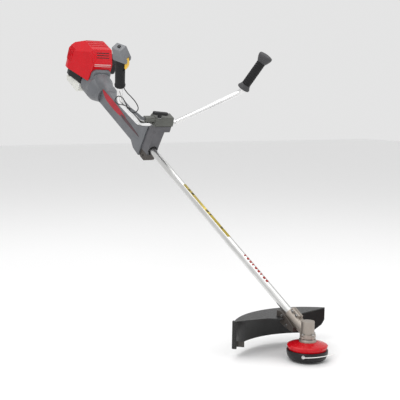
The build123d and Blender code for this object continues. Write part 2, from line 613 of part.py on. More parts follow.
with BuildPart() as carburetor:
    block(side(31.2, CYLINDER_X, 64), 22, 22, -6, corner=5)
    block(side(37.2, CYLINDER_X, 64), 44, 36, -32, corner=5)
    block(side(69.2, CYLINDER_X, 66), 106, 84, -3, corner=10)
    disc(side(28, CYLINDER_X, 64), 7, -45, mode=Mode.SUBTRACT)
    disc(deck(40, CYLINDER_X, 53), 10.3, 10, mode=Mode.SUBTRACT)

with BuildPart() as primer_bulb:
    disc(deck(39, CYLINDER_X, 53), 9.5, 7.5)
    fillet(primer_bulb.edges().sort_by(Axis(at(0), UPWARD))[0], 4.5)

with BuildPart() as choke_lever:
    disc(side(72.5, -1690, 96), 5.5, -4)
    block(side(72.5, -1674, 96), 30, 7, -4, corner=2)

with BuildPart() as air_filter:
    block(side(78, -1740, 64), 70, 58, -16, corner=8)

with BuildPart() as air_cleaner_cover:
    block(side(72.6, -1742, 62), 90, 78, -34, corner=14)
    fillet(air_cleaner_cover.faces().sort_by(Axis.Y)[-1].edges(), 8)
    block(side(72.5, -1742, 62), 84, 72, -31, corner=11, mode=Mode.SUBTRACT)

TANK_HALF, TANK_WALL, SADDLE_HALF, SADDLE_TOP = 62.0, 3.0, 42.0, -42.5
with BuildPart() as fuel_tank:
    prism(side(0), [(-1794, -20), (-1794, -43), (-1822, -43), (-1822, -54), (-1812, -65), (-1705, -65), (-1693, -54),
                    (-1693, -20)], TANK_HALF, both=True, corner=5)
    fillet(fuel_tank.edges().group_by(Axis(at(0), UPWARD))[0], 4)
    block(deck(SADDLE_TOP, -1750), 200, 2 * SADDLE_HALF, 60, mode=Mode.SUBTRACT)
    with BuildPart(mode=Mode.PRIVATE) as tank_room:
        prism(side(0), [(-1791, -23), (-1791, -46), (-1819, -46), (-1819, -53), (-1811, -62), (-1706, -62),
                        (-1696, -53), (-1696, -23)], TANK_HALF - TANK_WALL, both=True)
        block(deck(SADDLE_TOP - TANK_WALL, -1750), 200, 2 * (SADDLE_HALF + TANK_WALL), 60, mode=Mode.SUBTRACT)
    add(tank_room.part, mode=Mode.SUBTRACT)
    disc(side(61, -1775, -42), 15, -11)
    disc(side(50, -1775, -42), 12, -30, mode=Mode.SUBTRACT)

with BuildPart() as fuel_cap:
    disc(side(72.3, -1775, -42), 20, -11)
    with BuildSketch(side(72.3, -1775, -42)) as cap_grips:
        with PolarLocations(21, 12):
            Circle(2.6)
    extrude(cap_grips.sketch, amount=-11, mode=Mode.SUBTRACT)

RECOIL_R, PULLEY_R = 62.0, 30.0
ROPE_X, ROPE_Z = -1815.0, 27.0
with BuildPart() as recoil_case:
    disc(across(ENGINE_REAR), RECOIL_R, -ENGINE_REAR - 1801)
    fillet(recoil_case.edges().sort_by(Axis(at(0), FORWARD))[0], 6)
    disc(across(ENGINE_REAR + 3), RECOIL_R - 3, 40, mode=Mode.SUBTRACT)
    disc(across(ENGINE_REAR + 2), 5, 25)
    disc(side(40, ROPE_X, ROPE_Z), 3.2, -40, mode=Mode.SUBTRACT)
    block(deck(-100, -1816), 60, 140, 57.7, mode=Mode.SUBTRACT)

with BuildPart() as recoil_pulley:
    turned(side(0), SHAFT_AXIS, [(-1824, 5 + FIT), (-1824, PULLEY_R), (-1821, PULLEY_R), (-1819, 25), (-1811, 25),
                                 (-1809, PULLEY_R), (-1806, PULLEY_R), (-1806, 5 + FIT)])

with BuildPart() as starter_rope:
    disc(side(2, ROPE_X, ROPE_Z), 1.6, -62)

with BuildPart() as starter_grip:
    disc(side(64, ROPE_X, ROPE_Z), 8, -12)
    block(side(76, ROPE_X, ROPE_Z), 20, 72, -20, corner=8)
    fillet(starter_grip.faces().sort_by(Axis.Y)[-1].edges(), 5)

# ================================================================ bearings and screws
with BuildPart() as bearings:
    ring(Plane.XY.offset(74.7), 13.0, 5 + FIT, 8)
    ring(Plane.XY.offset(GEAR_HEIGHT + 25.3), 13.0, 5 + FIT, 8)
    for front_x in (-50, -41):
        ring(across(front_x), BEARING_R, DRIVE_R + FIT, BEARING_LONG)
    ring(across(-1612.5), BEARING_R, 6 + FIT, BEARING_LONG)
    for seat_x in (-1773, -1704):
        ring(across(seat_x), BEARING_R, CRANK_R + FIT, BEARING_LONG)

SCREW_HEAD_R, SCREW_HEAD = 4.2, 4.0
with BuildPart() as screws:
    for clamp_x in (-86, -64):
        disc(side(-8.5, clamp_x, 21.4), SCREW_HEAD_R, SCREW_HEAD)
    for ear in range(3):
        ear_angle = radians(CAP_EAR_SPREAD * (ear - 1))
        disc(Plane(origin=(24.5 * cos(ear_angle), 24.5 * sin(ear_angle), 85)), 3.4, 3)
    for bracket_x, bracket_z in ((-100, 126), (-77, 99)):
        disc(Plane(origin=(bracket_x, -24, bracket_z), z_dir=(0, -1, 0)), SCREW_HEAD_R, 3)
    for cap_y in (-22, 30):
        disc(deck(CAP_TOP, -1114, cap_y), SCREW_HEAD_R, SCREW_HEAD)

# ================================================================ labels and files
pieces = {
    "head_housing": head_housing.part, "head_cover": head_cover.part, "spool": spool.part,
    "bump_button": bump_button.part, "head_spring": head_spring.part, "line_eyelet": line_eyelet.part,
    "trimmer_line": trimmer_line.part, "blade_holder": blade_holder.part, "output_shaft": output_shaft.part,
    "bevel_gear": bevel_gear.part, "bevel_pinion": bevel_pinion.part, "gear_case": gear_case.part,
    "gear_case_cap": gear_case_cap.part, "guard": guard.part, "guard_bracket": guard_bracket.part,
    "line_cutter": line_cutter.part, "shaft_tube": shaft_tube.part, "drive_shaft": drive_shaft.part,
    "shaft_bushings": shaft_bushings.part, "bracket_body": bracket_body.part, "damper_rings": damper_rings.part,
    "bracket_foot": bracket_foot.part, "clamp_cap": clamp_cap.part, "knob_washer": knob_washer.part,
    "clamp_knob": clamp_knob.part, "handlebar": handlebar.part, "left_grip": left_grip.part,
    "right_grip": right_grip.part, "throttle_housing": throttle_housing.part,
    "throttle_trigger": throttle_trigger.part, "trigger_lockout": trigger_lockout.part,
    "stop_switch": stop_switch.part, "throttle_cable": throttle_cable.part, "cable_sleeve": cable_sleeve.part,
    "shaft_cover_right": shaft_cover_right, "shaft_cover_left": shaft_cover_left,
    "clutch_housing": clutch_housing.part, "clutch_drum": clutch_drum.part, "clutch_rotor": clutch_rotor.part,
    "flywheel_fan": flywheel_fan.part, "crankcase": crankcase.part, "crankshaft": crankshaft.part,
    "cylinder": cylinder.part, "spark_plug": spark_plug.part, "muffler": muffler.part, "top_cover": top_cover.part,
    "lower_shroud": lower_shroud.part, "carburetor": carburetor.part, "primer_bulb": primer_bulb.part,
    "choke_lever": choke_lever.part, "air_filter": air_filter.part, "air_cleaner_cover": air_cleaner_cover.part,
    "fuel_tank": fuel_tank.part, "fuel_cap": fuel_cap.part, "recoil_case": recoil_case.part,
    "recoil_pulley": recoil_pulley.part, "starter_rope": starter_rope.part, "starter_grip": starter_grip.part,
    "bearings": bearings.part, "screws": screws.part,
}
os.makedirs("parts", exist_ok=True)
for name, piece in pieces.items():
    piece.label = name
    export_step(piece, f"parts/{name}.step")
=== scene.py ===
"""Looks of the petrol brush cutter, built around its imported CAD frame."""
import bmesh
import bpy
import json
from math import cos, pi, radians, sin
from mathutils import Matrix, Vector
from mathutils.bvhtree import BVHTree


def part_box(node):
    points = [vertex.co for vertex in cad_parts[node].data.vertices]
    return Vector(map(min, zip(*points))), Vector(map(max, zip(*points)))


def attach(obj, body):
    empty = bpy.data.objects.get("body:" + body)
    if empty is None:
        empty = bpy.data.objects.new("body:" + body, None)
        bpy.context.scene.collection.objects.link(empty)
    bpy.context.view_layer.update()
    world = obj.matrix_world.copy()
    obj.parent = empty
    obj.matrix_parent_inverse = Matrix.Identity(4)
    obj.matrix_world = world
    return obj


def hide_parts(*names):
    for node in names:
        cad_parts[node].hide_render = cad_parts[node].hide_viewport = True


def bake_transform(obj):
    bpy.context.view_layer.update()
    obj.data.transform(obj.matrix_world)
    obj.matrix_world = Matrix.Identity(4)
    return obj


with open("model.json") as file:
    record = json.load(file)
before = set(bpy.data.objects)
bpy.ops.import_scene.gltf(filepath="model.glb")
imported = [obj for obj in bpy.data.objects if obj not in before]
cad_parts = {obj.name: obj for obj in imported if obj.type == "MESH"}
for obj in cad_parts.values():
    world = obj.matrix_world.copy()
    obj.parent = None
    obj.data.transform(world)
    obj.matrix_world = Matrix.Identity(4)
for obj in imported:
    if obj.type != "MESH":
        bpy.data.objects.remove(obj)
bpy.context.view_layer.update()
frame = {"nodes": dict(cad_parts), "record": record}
scene = bpy.context.scene
MM = 0.001

# ---------------------------------------------------------------- the shaft's own frame, in metres
TILT = radians(28.66)
FORWARD = Vector((cos(TILT), 0, -sin(TILT)))
LEFT = Vector((0, 1, 0))
UPWARD = Vector((sin(TILT), 0, cos(TILT)))
MEETING = Vector((0, 0, 0.086))     # where the shaft's axis meets the head's axis


def at(x, y, z):
    """A point given in millimetres along, left of and above the shaft's axis."""
    return MEETING + (FORWARD * x + LEFT * y + UPWARD * z) * MM


# ---------------------------------------------------------------- camera
CAMERA_PLACE = Vector((2.11201, -1.84615, 0.82231))
CAMERA_RIGHT, CAMERA_UP = Vector((0.5584, 0.8295, 0.0139)), Vector((-0.1010, 0.0513, 0.9936))
camera_data = bpy.data.cameras.new("camera")
camera_data.lens, camera_data.sensor_width = 80.76, 36.0
camera = bpy.data.objects.new("camera", camera_data)
scene.collection.objects.link(camera)
camera_back = CAMERA_RIGHT.cross(CAMERA_UP).normalized()
camera_up = camera_back.cross(CAMERA_RIGHT).normalized()
camera.matrix_world = Matrix.Translation(CAMERA_PLACE) @ Matrix(
    (CAMERA_RIGHT.normalized(), camera_up, camera_back)).transposed().to_4x4()
scene.camera = camera


# ---------------------------------------------------------------- materials
class Nodes:
    """A short way to build a material's node tree."""

    def __init__(self, name):
        self.material = bpy.data.materials.new(name)
        self.material.use_nodes = True
        self.tree = self.material.node_tree
        self.tree.nodes.clear()
        self.output = self.add("ShaderNodeOutputMaterial")
        self.shader = self.add("ShaderNodeBsdfPrincipled")
        self.link(self.shader.outputs[0], self.output.inputs["Surface"])
        self.place = self.add("ShaderNodeTexCoord").outputs["Object"]

    def add(self, kind, **settings):
        node = self.tree.nodes.new(kind)
        for key, value in settings.items():
            setattr(node, key, value)
        return node

    def link(self, source, target):
        self.tree.links.new(source, target)

    def noise(self, scale, detail=3.0, roughness=0.5, place=None):
        node = self.add("ShaderNodeTexNoise")
        node.inputs["Scale"].default_value = scale
        node.inputs["Detail"].default_value = detail
        node.inputs["Roughness"].default_value = roughness
        self.link(place or self.place, node.inputs["Vector"])
        return node.outputs["Fac"]

    def along_shaft(self, stretch):
        """Coordinates turned to the shaft, squeezed along it so that noise draws out into streaks."""
        turned = self.add("ShaderNodeMapping")
        turned.inputs["Rotation"].default_value = (0, -TILT, 0)
        self.link(self.place, turned.inputs["Vector"])
        squeezed = self.add("ShaderNodeMapping")
        squeezed.inputs["Scale"].default_value = (1 / stretch, 1, 1)
        self.link(turned.outputs["Vector"], squeezed.inputs["Vector"])
        return squeezed.outputs["Vector"]

    def between(self, fac, low, high, start=0.3, end=0.7):
        """A number running from low to high as fac runs from start to end."""
        node = self.add("ShaderNodeMapRange")
        for key, value in zip(("From Min", "From Max", "To Min", "To Max"), (start, end, low, high)):
            node.inputs[key].default_value = value
        self.link(fac, node.inputs["Value"])
        return node.outputs["Result"]

    def colours(self, fac, *stops):
        """A colour ramp through (position, colour) stops."""
        node = self.add("ShaderNodeValToRGB")
        ramp = node.color_ramp
        while len(ramp.elements) < len(stops):
            ramp.elements.new(0.5)
        for element, (position, colour) in zip(ramp.elements, stops):
            element.position = position
            element.color = (*colour, 1)
        self.link(fac, node.inputs["Fac"])
        return node.outputs["Color"]

    def mixed(self, fac, first, second):
        node = self.add("ShaderNodeMix", data_type="RGBA")
        self.link(fac, node.inputs["Factor"])
        for socket, value in ((node.inputs[6], first), (node.inputs[7], second)):
            if isinstance(value, tuple):
                socket.default_value = (*value, 1)
            else:
                self.link(value, socket)
        return node.outputs[2]

    def bump(self, height, depth, strength=1.0, edge=0.0):
        """Surface relief of a depth in metres, with edges rounded by a radius if asked."""
        node = self.add("ShaderNodeBump")
        node.inputs["Strength"].default_value = strength
        node.inputs["Distance"].default_value = depth
        self.link(height, node.inputs["Height"])
        if edge:
            rounded = self.add("ShaderNodeBevel", samples=4)
            rounded.inputs["Radius"].default_value = edge
            self.link(rounded.outputs["Normal"], node.inputs["Normal"])
        self.link(node.outputs["Normal"], self.shader.inputs["Normal"])

    def edges(self, radius):
        """About 0 on flat faces, rising to 1 at sharp edges, where the colour is painted paler as a painted
        highlight and as wear.
        """
        rounded = self.add("ShaderNodeBevel", samples=4)
        rounded.inputs["Radius"].default_value = radius
        straight = self.add("ShaderNodeNewGeometry")
        dot = self.add("ShaderNodeVectorMath", operation="DOT_PRODUCT")
        self.link(rounded.outputs["Normal"], dot.inputs[0])
        self.link(straight.outputs["Normal"], dot.inputs[1])
        return self.between(dot.outputs["Value"], 1.0, 0.0, 0.72, 0.98)

    def set(self, **values):
        for key, value in values.items():
            self.shader.inputs[key.replace("_", " ")].default_value = value


def scaled(colour, factor):
    return tuple(min(1.0, channel * factor) for channel in colour)


def plastic(name, colour, roughness, grain=0.00012, grain_scale=900.0, variation=0.14, edge_sheen_and_wear=0.35, edge=0.0008,
            **sockets):
    """Moulded plastic: fine grain, faint mottling, and edges painted paler, a painted highlight and wear."""
    n = Nodes(name)
    mottling = n.noise(22, 4)
    base = n.colours(mottling, (0.3, scaled(colour, 1 - variation)), (0.7, scaled(colour, 1 + variation)))
    # sharp edges are painted paler towards grey: a painted highlight where rounded edges catch the light, and
    # rubbed wear
    paler = tuple(channel + (0.45 - channel) * edge_sheen_and_wear for channel in colour)
    n.link(n.mixed(n.edges(edge), base, paler), n.shader.inputs["Base Color"])
    n.link(n.between(n.noise(140, 3), roughness - 0.06, roughness + 0.08), n.shader.inputs["Roughness"])
    n.bump(n.noise(grain_scale, 2), grain, 0.5, edge)
    n.set(**sockets)
    return n.material


def metal(name, colour, roughness, stretch=1.0, scale=300.0, grain=0.00008, edge=0.0004, variation=0.12,
          **sockets):
    """Bare metal: streaks along the shaft where it is drawn or polished, and slight staining."""
    n = Nodes(name)
    streaks = n.noise(scale, 3, place=n.along_shaft(stretch))
    stain = n.noise(14, 5, 0.6)
    darker, paler = scaled(colour, 1 - variation), scaled(colour, 1.06)
    base = n.colours(stain, (0.3, darker), (0.65, colour), (0.85, paler))
    # sharp edges are painted brighter: a painted highlight where they catch the light, and wear
    sheen_and_wear_colour = scaled(colour, 1.25)
    n.link(n.mixed(n.edges(edge), base, sheen_and_wear_colour), n.shader.inputs["Base Color"])
    n.link(n.between(streaks, roughness * 0.7, roughness * 1.35), n.shader.inputs["Roughness"])
    n.bump(streaks, grain, 0.5, edge)
    n.set(Metallic=1.0, **sockets)
    return n.material


MATERIALS = {
    "bright_tube": metal("bright_tube", (0.72, 0.72, 0.71), 0.30, stretch=60, scale=700, grain=0.00003),
    "polished_bar": metal("polished_bar", (0.80, 0.80, 0.80), 0.17, stretch=1, scale=120, grain=0.00002),
    "cast_metal": metal("cast_metal", (0.40, 0.36, 0.32), 0.46, scale=420, grain=0.0004, edge=0.0012),
    "steel": metal("steel", (0.50, 0.50, 0.50), 0.28, scale=500, grain=0.00005),
    "sintered_metal": metal("sintered_metal", (0.20, 0.20, 0.21), 0.5, scale=900, grain=0.0003),
    "hot_steel": metal("hot_steel", (0.09, 0.085, 0.08), 0.55, scale=260, grain=0.0002),
    "red_plastic": plastic("red_plastic", (0.54, 0.003, 0.010), 0.22, grain=0.00002, variation=0.05,
                           edge_sheen_and_wear=0.04, edge=0.0016, Specular_IOR_Level=0.22, Coat_Weight=0.12,
                           Coat_Roughness=0.08),
    "black_plastic": plastic("black_plastic", (0.010, 0.010, 0.011), 0.38, edge_sheen_and_wear=0.10,
                             Specular_IOR_Level=0.28),
    "grey_plastic": plastic("grey_plastic", (0.115, 0.12, 0.13), 0.40, edge_sheen_and_wear=0.22, edge=0.0014),
    "grip_rubber": plastic("grip_rubber", (0.010, 0.010, 0.011), 0.62, grain=0.0002, grain_scale=1400,
                           edge_sheen_and_wear=0.06, Specular_IOR_Level=0.25),
    "yellow_plastic": plastic("yellow_plastic", (0.83, 0.50, 0.03), 0.3, grain=0.00003, variation=0.08,
                              edge_sheen_and_wear=0.05),
    "white_plastic": plastic("white_plastic", (0.66, 0.66, 0.62), 0.38, variation=0.06, edge_sheen_and_wear=0.0, edge=0.002,
                             Subsurface_Weight=0.15, Subsurface_Radius=(0.01, 0.01, 0.008)),
    "nylon_line": plastic("nylon_line", (0.80, 0.80, 0.78), 0.25, grain=0.00002, variation=0.05, edge_sheen_and_wear=0.0,
                          edge=0.0001),
    "filter_foam": plastic("filter_foam", (0.05, 0.05, 0.045), 0.9, grain=0.0012, grain_scale=500, edge_sheen_and_wear=0.05),
    "rope_fibre": plastic("rope_fibre", (0.55, 0.55, 0.50), 0.8, grain=0.0006, grain_scale=1500, edge_sheen_and_wear=0.0),
}
GUARD_PLASTIC = plastic("guard_plastic", (0.012, 0.012, 0.012), 0.34, variation=0.3, edge_sheen_and_wear=0.3, edge=0.0012,
                        Specular_IOR_Level=0.35)
CAP_PLASTIC = plastic("cap_plastic", (0.085, 0.088, 0.078), 0.45, edge_sheen_and_wear=0.2, edge=0.002)
FOOT_PLASTIC = plastic("foot_plastic", (0.050, 0.042, 0.036), 0.5, edge_sheen_and_wear=0.15, edge=0.0015)
BRACKET_PLASTIC = plastic("bracket_plastic", (0.085, 0.084, 0.092), 0.42, edge_sheen_and_wear=0.2, edge=0.0015)
FLARE_PLASTIC = plastic("flare_plastic", (0.055, 0.055, 0.058), 0.5, edge_sheen_and_wear=0.12, Specular_IOR_Level=0.3)
HOUSING_PLASTIC = plastic("housing_plastic", (0.15, 0.155, 0.165), 0.42, edge_sheen_and_wear=0.2)
LABEL_YELLOW = plastic("label_yellow", (0.80, 0.62, 0.10), 0.35, grain=0.00002, variation=0.06, edge_sheen_and_wear=0.0)
LABEL_DARK = plastic("label_dark", (0.10, 0.08, 0.03), 0.35, grain=0.00002, edge_sheen_and_wear=0.0)
LABEL_RED = plastic("label_red", (0.55, 0.03, 0.02), 0.35, grain=0.00002, variation=0.06, edge_sheen_and_wear=0.0)
LABEL_PALE = plastic("label_pale", (0.62, 0.50, 0.48), 0.35, grain=0.00002, variation=0.06, edge_sheen_and_wear=0.0)
INLAY_RED = plastic("inlay_red", (0.36, 0.008, 0.02), 0.28, grain=0.00003, variation=0.1, edge_sheen_and_wear=0.05,
                    edge=0.001, Specular_IOR_Level=0.25)
INLAY_TAIL = plastic("inlay_tail", (0.060, 0.020, 0.026), 0.35, variation=0.3, edge_sheen_and_wear=0.1, edge=0.001)
FINISHES = {
    "guard": GUARD_PLASTIC,
    "line_cutter": MATERIALS["hot_steel"],
    "guard_bracket": FOOT_PLASTIC,
    "clamp_cap": CAP_PLASTIC,
    "bracket_foot": FOOT_PLASTIC,
    "bracket_body": BRACKET_PLASTIC,
    "throttle_housing": HOUSING_PLASTIC,
}
for entry in frame["record"]["subparts"]:
    node = frame["nodes"][entry["node"]]
    finish = FINISHES.get(entry["node"], MATERIALS[entry["material_slot"]])
    node.data.materials.clear()
    node.data.materials.append(finish)


# ---------------------------------------------------------------- mesh helpers
def piece(name, points, faces, material, body, smooth=True):
    """A mesh piece that rides a CAD body, or that stays free when no body is given."""
    mesh = bpy.data.meshes.new(name)
    mesh.from_pydata([tuple(p) for p in points], [], faces)
    mesh.validate()
    mesh.materials.append(material)
    if smooth:
        mesh.shade_smooth()
    else:
        mesh.shade_flat()
    thing = bpy.data.objects.new(name, mesh)
    scene.collection.objects.link(thing)
    if body:
        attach(thing, body)
    return thing


def lathe(name, origin, axis, outline, material, body, turns=64):
    """A round piece through closed (along, radius) points in millimetres, about an axis."""
    axis = axis.normalized()
    across = axis.orthogonal().normalized()
    other = axis.cross(across)
    points, faces = [], []
    for along, radius in outline:
        for k in range(turns):
            angle = 2 * pi * k / turns
            points.append(origin + (axis * along + (across * cos(angle) + other * sin(angle)) * radius) * MM)
    rows = len(outline)
    for r in range(rows):
        for k in range(turns):
            a, b = r * turns + k, r * turns + (k + 1) % turns
            c, d = ((r + 1) % rows) * turns + (k + 1) % turns, ((r + 1) % rows) * turns + k
            faces.append((a, b, c, d))
    return piece(name, points, faces, material, body)


def wrap(name, x0, x1, angle0, angle1, material, slot, radius=14.12, thick=0.12, steps=10, lean=0.0):
    """A label on the round shaft tube: a thin curved patch from x0 to x1, angles from the left."""
    points, faces = [], []
    rows = ((radius, x0), (radius, x1), (radius + thick, x1), (radius + thick, x0))
    for r, x in rows:
        for k in range(steps + 1):
            share = k / steps
            angle = angle0 + (angle1 - angle0) * share
            points.append(at(x + lean * share, r * cos(angle), r * sin(angle)))
    width = steps + 1
    for row in range(4):
        after = (row + 1) % 4
        for k in range(steps):
            faces.append((row * width + k, row * width + k + 1, after * width + k + 1, after * width + k))
    for k in (0, steps):
        faces.append(tuple(row * width + k for row in range(4)))
    return piece(name, points, faces, material, "machine")


def smooth_outline(points, per_run=8):
    """A closed curve through the points, by Catmull-Rom; a doubled point keeps its corner."""
    out = []
    count = len(points)
    for i in range(count):
        p0, p1, p2, p3 = (Vector(points[(i + k - 1) % count]) for k in range(4))
        for step in range(per_run):
            t = step / per_run
            q = 0.5 * ((2 * p1) + (p2 - p0) * t + (2 * p0 - 5 * p1 + 4 * p2 - p3) * t * t
                       + (3 * p1 - p0 - 3 * p2 + p3) * t ** 3)
            if not out or (q - out[-1]).length > 0.05:
                out.append(q)
    return out


def plaque(name, outline, placement, thick, material, body, bevel=0.4, back=0.0):
    """A flat piece with a rounded edge: (u, v) outline in mm, placement maps (u, v, height) to a point."""
    bm = bmesh.new()
    low = [bm.verts.new(placement(u, v, -back)) for u, v in outline]
    high = [bm.verts.new(placement(u, v, thick)) for u, v in outline]
    bm.faces.new(low[::-1])
    top = bm.faces.new(high)
    for k in range(len(low)):
        after = (k + 1) % len(low)
        bm.faces.new((low[k], low[after], high[after], high[k]))
    if bevel:
        bmesh.ops.bevel(bm, geom=list(top.edges), offset=bevel * MM, segments=3, profile=0.5, affect="EDGES")
    bmesh.ops.recalc_face_normals(bm, faces=bm.faces)
    mesh = bpy.data.meshes.new(name)
    bm.to_mesh(mesh)
    bm.free()
    mesh.materials.append(material)
    thing = bpy.data.objects.new(name, mesh)
    scene.collection.objects.link(thing)
    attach(thing, body)
    return thing


# ---------------------------------------------------------------- cords
LINE_ROUTE = [
    (42.7, -52.7, 26), (51.6, -63.7, 29), (69.6, -64.0, 33), (87.6, -46.0, 35.5), (97.0, -8.0, 37),
    (96.0, 31.0, 38),
]
CABLE_ROUTE = [
    (-1007, -266, 329), (-1003, -253, 313), (-999, -228, 295), (-998, -200, 270), (-999, -182, 243),
    (-1005, -197, 222), (-1008, -220, 238), (-1007, -241, 266), (-1004, -262, 292), (-1001, -287, 299),
    (-1003, -292, 275), (-1008, -268, 259), (-1018.9, -232.15, 250.7), (-1036, -197, 226),
]
SLEEVE_ROUTE = [
    (-1036, -197, 226), (-1054, -160, 200), (-1077, -122, 172), (-1093, -100, 154), (-1099, -82, 147),
]


def cord_curve(name, points, radius):
    """A smooth round cord whose control points are the route's points."""
    curve = bpy.data.curves.new(name, "CURVE")
    curve.dimensions = "3D"
    spline = curve.splines.new("NURBS")
    spline.points.add(len(points) - 1)
    for control, point in zip(spline.points, points):
        control.co = (*point, 1)
    spline.order_u = 3
    spline.use_endpoint_u = True
    spline.resolution_u = 12
    curve.bevel_depth = radius
    curve.bevel_resolution = 6
    curve.use_fill_caps = True
    thing = bpy.data.objects.new(name, curve)
    scene.collection.objects.link(thing)
    return thing


def curve_points(points):
    """Points along the smooth line of a route, read from its spline."""
    line = cord_curve("route", points, 0.0)
    mesh = bpy.data.meshes.new_from_object(line)
    found = [v.co.copy() for v in mesh.vertices]
    bpy.data.objects.remove(line)
    return found


def length_of(points):
    return sum((b - a).length for a, b in zip(points, points[1:]))


line_points = [Vector(p) * MM for p in LINE_ROUTE]
cutting_line = cord_curve("cutting_line", line_points, 0.0012)
cutting_line.data.materials.append(MATERIALS["nylon_line"])
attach(cutting_line, "head")
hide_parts("trimmer_line")
length_of(curve_points(line_points))

cable_points = [at(*p) for p in CABLE_ROUTE]
cable = cord_curve("throttle_cable_loop", cable_points, 0.0018)
cable.data.materials.append(MATERIALS["black_plastic"])
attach(cable, "bars")
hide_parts("throttle_cable")
length_of(curve_points(cable_points))


def ribbed_tube(name, path, radius, rib, pitch, material, body, sides=28, per_rib=6):
    """A corrugated sleeve along a smooth path: its radius rises and falls by rib every pitch."""
    lengths = [0.0]
    for a, b in zip(path, path[1:]):
        lengths.append(lengths[-1] + (b - a).length)
    total = lengths[-1]
    count = int(total / pitch) * per_rib
    points, faces = [], []
    normal = (path[1] - path[0]).orthogonal().normalized()
    for k in range(count + 1):
        distance = total * k / count
        run = max(i for i, value in enumerate(lengths[:-1]) if value <= distance + 1e-9)
        share = (distance - lengths[run]) / (lengths[run + 1] - lengths[run])
        centre = path[run].lerp(path[run + 1], share)
        direction = (path[run + 1] - path[run]).normalized()
        normal = (normal - direction * normal.dot(direction)).normalized()
        other = direction.cross(normal)
        size = radius - rib * (0.5 - 0.5 * cos(2 * pi * k / per_rib))
        for s in range(sides):
            angle = 2 * pi * s / sides
            points.append(centre + (normal * cos(angle) + other * sin(angle)) * size)
    for k in range(count):
        for s in range(sides):
            a, b = k * sides + s, k * sides + (s + 1) % sides
            faces.append((a, b, b + sides, a + sides))
    faces.append(tuple(range(sides))[::-1])
    faces.append(tuple(count * sides + s for s in range(sides)))
    return piece(name, points, faces, material, body)


sleeve_line = curve_points([at(*p) for p in SLEEVE_ROUTE])
sleeve = ribbed_tube("ribbed_sleeve", sleeve_line, 0.0055, 0.0012, 0.0052, MATERIALS["grey_plastic"], "bars")
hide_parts("cable_sleeve")

rope_low, rope_high = (Vector(corner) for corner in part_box("starter_rope"))
rope_middle = (rope_low + rope_high) / 2
ROPE_STEPS = 40
rope_span = rope_high.y - rope_low.y
rope_path = [Vector((rope_middle.x, rope_low.y + rope_span * k / ROPE_STEPS, rope_middle.z))
             for k in range(ROPE_STEPS + 1)]
starter_cord = ribbed_tube("starter_cord", rope_path, 0.0016, 0.0002, 0.0016, MATERIALS["rope_fibre"], None,
                           sides=16)
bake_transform(starter_cord)
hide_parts("starter_rope")

# ---------------------------------------------------------------- fairing over the clutch housing
# Stations in millimetres: place along the shaft, half width, top, foot.
FAIRING = [
    (-1641, 47, 67, 8), (-1612, 45, 64.5, 8), (-1580, 37, 58, 8), (-1550, 29.5, 52, 8),
    (-1542, 28, 50.5, 37), (-1515, 27.6, 47, 37), (-1480, 25, 42.5, 37),
]


def fairing_arch(x, half, top, foot, steps=20, square=3.0):
    """One arch of the fairing: a squared half ellipse standing on its foot."""
    arch = []
    for k in range(steps + 1):
        angle = pi * k / steps
        across, up = cos(angle), sin(angle)
        arch.append(at(x, half * abs(across) ** (2 / square) * (1 if across >= 0 else -1),
                       foot + (top - foot) * max(up, 0.0) ** (2 / square)))
    return arch


arches = [fairing_arch(*station) for station in FAIRING]
arch_count = len(arches[0])
fairing_points = [point for arch in arches for point in arch]
fairing_faces = []
for row in range(len(arches) - 1):
    for k in range(arch_count):
        after = (k + 1) % arch_count
        here, beyond = row * arch_count, (row + 1) * arch_count
        fairing_faces.append((here + k, here + after, beyond + after, beyond + k))
fairing_faces.append(tuple(range(arch_count)))
fairing_faces.append(tuple(range(len(fairing_points) - arch_count, len(fairing_points)))[::-1])
piece("clutch_fairing", fairing_points, fairing_faces, MATERIALS["grey_plastic"], "machine")

# ---------------------------------------------------------------- strips laid on the CAD's surfaces
def draped(name, node, start, end, side, towards, width, lift, material, body="machine", steps=14):
    """A strip laid on a CAD piece: its middle line runs from start to end, both in shaft millimetres, and is
    thrown towards the surface; it stands lift millimetres proud."""
    surface = BVHTree.FromObject(frame["nodes"][node], bpy.context.evaluated_depsgraph_get())
    half = side.normalized() * width / 2 * MM
    towards = towards.normalized()
    rows = []
    for k in range(steps + 1):
        share = k / steps
        middle = at(*start).lerp(at(*end), share)
        row = []
        for offset in (-half, half):
            hit = surface.ray_cast(middle + offset, towards)[0]
            if hit is None:
                break
            row.append(hit)
        if len(row) == 2:
            rows.append(row)
    points, faces = [], []
    for low, high in rows:
        points += [low + towards * 2 * MM, high + towards * 2 * MM, high - towards * lift * MM,
                   low - towards * lift * MM]
    for k in range(len(rows) - 1):
        for corner in range(4):
            after = (corner + 1) % 4
            faces.append((4 * k + corner, 4 * k + after, 4 * k + 4 + after, 4 * k + 4 + corner))
    faces.append((3, 2, 1, 0))
    last = 4 * (len(rows) - 1)
    faces.append((last, last + 1, last + 2, last + 3))
    return piece(name, points, faces, material, body, smooth=False)


REARWARD, DOWNWARD = -FORWARD, -UPWARD
AHEAD, BESIDE, ABOVE = -1500, -120, 260     # strips are thrown at the cover from these places
RED_PLASTIC = MATERIALS["red_plastic"]


def on_cover(name, start, end, side, towards, width, lift, material=RED_PLASTIC):
    """A strip laid on the engine's top cover."""
    draped(name, "top_cover", start, end, side, towards, width, lift, material)


LABEL_HALF, LABEL_HEIGHT = 40, 98
on_cover("cover_label", (AHEAD, -LABEL_HALF, LABEL_HEIGHT), (AHEAD, LABEL_HALF, LABEL_HEIGHT),
         UPWARD, REARWARD, 9, 0.6, LABEL_PALE)
